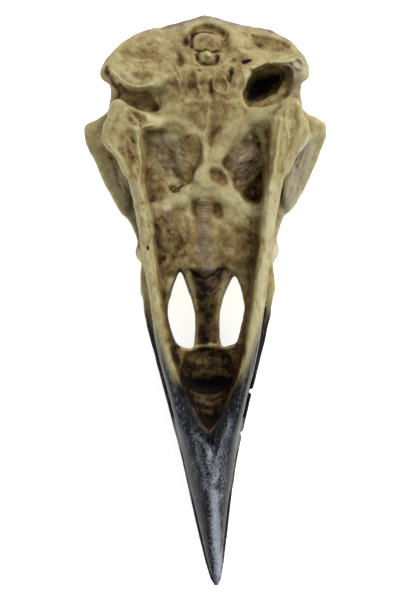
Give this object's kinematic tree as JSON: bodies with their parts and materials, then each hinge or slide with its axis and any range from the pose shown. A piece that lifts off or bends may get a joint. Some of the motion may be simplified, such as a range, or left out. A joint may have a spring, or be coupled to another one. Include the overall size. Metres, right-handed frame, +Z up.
{
  "type": "crow skull",
  "caption": "Life-size resin cast of a crow's skull with its lower jaw: domed braincase, open eye sockets, bony palate, nostril openings and a long tapering black bill, lying on its crown.",
  "frame": {"origin": "under the middle of the skull as it lies on its crown and the ridge of its bill, at the level of the ground", "axes": "+Z up, throat side up; +Y from the tip of the bill to the nape; +X to the skull's right side"},
  "size_m": [0.0382, 0.0904, 0.029],
  "materials": {
    "cast_bone": "matt khaki-bone paint on cast resin, brown antique wash in the hollows, paler dry-brushed edges",
    "black_bill": "satin blue-black paint, dry-brushed with blue-grey streaks along the bill"
  },
  "bodies": {
    "root": {"bill_root": "cast_bone", "braincase": "cast_bone", "eye_sockets": "cast_bone", "jaw_branch_left": "cast_bone", "jaw_branch_right": "cast_bone", "jaw_joint_left": "cast_bone", "jaw_joint_right": "cast_bone", "jugal_bar_left": "cast_bone", "jugal_bar_right": "cast_bone", "palate": "cast_bone", "pterygoid_left": "cast_bone", "pterygoid_right": "cast_bone", "quadrate_left": "cast_bone", "quadrate_right": "cast_bone", "lower_bill": "black_bill", "upper_bill": "black_bill"}
  },
  "joints": []
}
